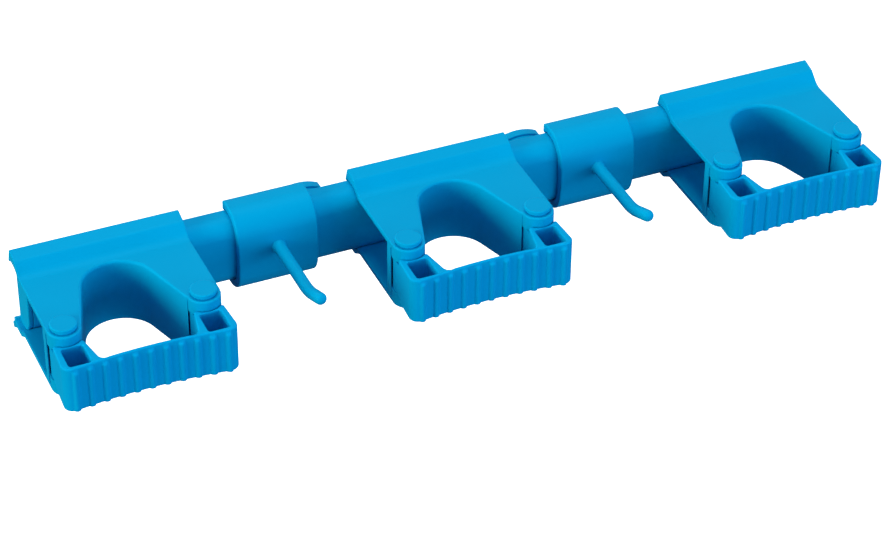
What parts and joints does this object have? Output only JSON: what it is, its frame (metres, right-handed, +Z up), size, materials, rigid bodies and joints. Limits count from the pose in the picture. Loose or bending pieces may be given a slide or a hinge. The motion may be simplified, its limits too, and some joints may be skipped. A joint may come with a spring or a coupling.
{
  "type": "wall mop holder rack",
  "caption": "Wall rail with clip-on grippers, whose ribbed elastic bands hold mop and broom handles, and clip-on peg hooks between them.",
  "frame": {"origin": "midway between the two wall screws, on the wall plane, at the middle of the rail's height", "axes": "+X along the rail to the right as seen from the front, +Y into the wall, +Z up"},
  "size_m": [0.4218, 0.0912, 0.0483],
  "materials": {
    "polypropylene": "satin moulded",
    "band_rubber": "soft matt moulded"
  },
  "bodies": {
    "rack": {"rail": "polypropylene", "left_end_cap": "polypropylene", "right_end_cap": "polypropylene", "left_wall_bracket": "polypropylene", "right_wall_bracket": "polypropylene"},
    "left_hook": {"left_hook": "polypropylene"},
    "right_hook": {"right_hook": "polypropylene"},
    "left_gripper": {"left_gripper_frame": "polypropylene", "left_gripper_left_pin": "polypropylene", "left_gripper_right_pin": "polypropylene"},
    "left_gripper_left_block": {"left_gripper_left_grip_block": "band_rubber"},
    "left_gripper_left_strip": {"left_gripper_left_front_strip": "band_rubber"},
    "left_gripper_right_block": {"left_gripper_right_grip_block": "band_rubber"},
    "left_gripper_right_strip": {"left_gripper_right_front_strip": "band_rubber"},
    "middle_gripper": {"middle_gripper_frame": "polypropylene", "middle_gripper_left_pin": "polypropylene", "middle_gripper_right_pin": "polypropylene"},
    "middle_gripper_left_block": {"middle_gripper_left_grip_block": "band_rubber"},
    "middle_gripper_left_strip": {"middle_gripper_left_front_strip": "band_rubber"},
    "middle_gripper_right_block": {"middle_gripper_right_grip_block": "band_rubber"},
    "middle_gripper_right_strip": {"middle_gripper_right_front_strip": "band_rubber"},
    "right_gripper": {"right_gripper_frame": "polypropylene", "right_gripper_left_pin": "polypropylene", "right_gripper_right_pin": "polypropylene"},
    "right_gripper_left_block": {"right_gripper_left_grip_block": "band_rubber"},
    "right_gripper_left_strip": {"right_gripper_left_front_strip": "band_rubber"},
    "right_gripper_right_block": {"right_gripper_right_grip_block": "band_rubber"},
    "right_gripper_right_strip": {"right_gripper_right_front_strip": "band_rubber"}
  },
  "joints": [
    {"name": "left_hook_slide", "type": "slide", "parent": "rack", "child": "left_hook", "axis": [1, 0, 0], "range_m": [-0.011, 0.011]},
    {"name": "right_hook_slide", "type": "slide", "parent": "rack", "child": "right_hook", "axis": [1, 0, 0], "range_m": [-0.011, 0.011]},
    {"name": "left_gripper_slide", "type": "slide", "parent": "rack", "child": "left_gripper", "axis": [1, 0, 0], "range_m": [-0.011, 0.011]},
    {"name": "left_gripper_grip", "type": "hinge", "parent": "left_gripper", "child": "left_gripper_left_block", "pos_m": [-0.1963, -0.065, 0], "axis": [0, 0, 1], "range_deg": [0, 20], "stiffness_Nm_per_rad": 0.6},
    {"name": "left_gripper_right_turn", "type": "hinge", "parent": "left_gripper", "child": "left_gripper_right_block", "pos_m": [-0.1293, -0.065, 0], "axis": [0, 0, 1], "range_deg": [-20, 0]},
    {"name": "left_gripper_left_bend", "type": "hinge", "parent": "left_gripper_left_block", "child": "left_gripper_left_strip", "pos_m": [-0.181, -0.08726, 0], "axis": [0, 0, 1], "range_deg": [0, 26], "deforming": ["left_gripper_left_front_strip"]},
    {"name": "left_gripper_right_bend", "type": "hinge", "parent": "left_gripper_right_block", "child": "left_gripper_right_strip", "pos_m": [-0.1446, -0.08726, 0], "axis": [0, 0, 1], "range_deg": [-26, 0], "deforming": ["left_gripper_right_front_strip"]},
    {"name": "middle_gripper_slide", "type": "slide", "parent": "rack", "child": "middle_gripper", "axis": [1, 0, 0], "range_m": [-0.011, 0.011]},
    {"name": "middle_gripper_grip", "type": "hinge", "parent": "middle_gripper", "child": "middle_gripper_left_block", "pos_m": [-0.0273, -0.065, 0], "axis": [0, 0, 1], "range_deg": [0, 20], "stiffness_Nm_per_rad": 0.6},
    {"name": "middle_gripper_right_turn", "type": "hinge", "parent": "middle_gripper", "child": "middle_gripper_right_block", "pos_m": [0.0397, -0.065, 0], "axis": [0, 0, 1], "range_deg": [-20, 0]},
    {"name": "middle_gripper_left_bend", "type": "hinge", "parent": "middle_gripper_left_block", "child": "middle_gripper_left_strip", "pos_m": [-0.012, -0.08726, 0], "axis": [0, 0, 1], "range_deg": [0, 26], "deforming": ["middle_gripper_left_front_strip"]},
    {"name": "middle_gripper_right_bend", "type": "hinge", "parent": "middle_gripper_right_block", "child": "middle_gripper_right_strip", "pos_m": [0.0244, -0.08726, 0], "axis": [0, 0, 1], "range_deg": [-26, 0], "deforming": ["middle_gripper_right_front_strip"]},
    {"name": "right_gripper_slide", "type": "slide", "parent": "rack", "child": "right_gripper", "axis": [1, 0, 0], "range_m": [-0.011, 0.011]},
    {"name": "right_gripper_grip", "type": "hinge", "parent": "right_gripper", "child": "right_gripper_left_block", "pos_m": [0.1417, -0.065, 0], "axis": [0, 0, 1], "range_deg": [0, 20], "stiffness_Nm_per_rad": 0.6},
    {"name": "right_gripper_right_turn", "type": "hinge", "parent": "right_gripper", "child": "right_gripper_right_block", "pos_m": [0.2087, -0.065, 0], "axis": [0, 0, 1], "range_deg": [-20, 0]},
    {"name": "right_gripper_left_bend", "type": "hinge", "parent": "right_gripper_left_block", "child": "right_gripper_left_strip", "pos_m": [0.157, -0.08726, 0], "axis": [0, 0, 1], "range_deg": [0, 26], "deforming": ["right_gripper_left_front_strip"]},
    {"name": "right_gripper_right_bend", "type": "hinge", "parent": "right_gripper_right_block", "child": "right_gripper_right_strip", "pos_m": [0.1934, -0.08726, 0], "axis": [0, 0, 1], "range_deg": [-26, 0], "deforming": ["right_gripper_right_front_strip"]}
  ],
  "couplings": [
    {"joint": "left_gripper_right_turn", "follows": "left_gripper_grip", "ratio": -1},
    {"joint": "left_gripper_left_bend", "follows": "left_gripper_grip", "ratio": 1.3},
    {"joint": "left_gripper_right_bend", "follows": "left_gripper_grip", "ratio": -1.3},
    {"joint": "middle_gripper_right_turn", "follows": "middle_gripper_grip", "ratio": -1},
    {"joint": "middle_gripper_left_bend", "follows": "middle_gripper_grip", "ratio": 1.3},
    {"joint": "middle_gripper_right_bend", "follows": "middle_gripper_grip", "ratio": -1.3},
    {"joint": "right_gripper_right_turn", "follows": "right_gripper_grip", "ratio": -1},
    {"joint": "right_gripper_left_bend", "follows": "right_gripper_grip", "ratio": 1.3},
    {"joint": "right_gripper_right_bend", "follows": "right_gripper_grip", "ratio": -1.3}
  ]
}
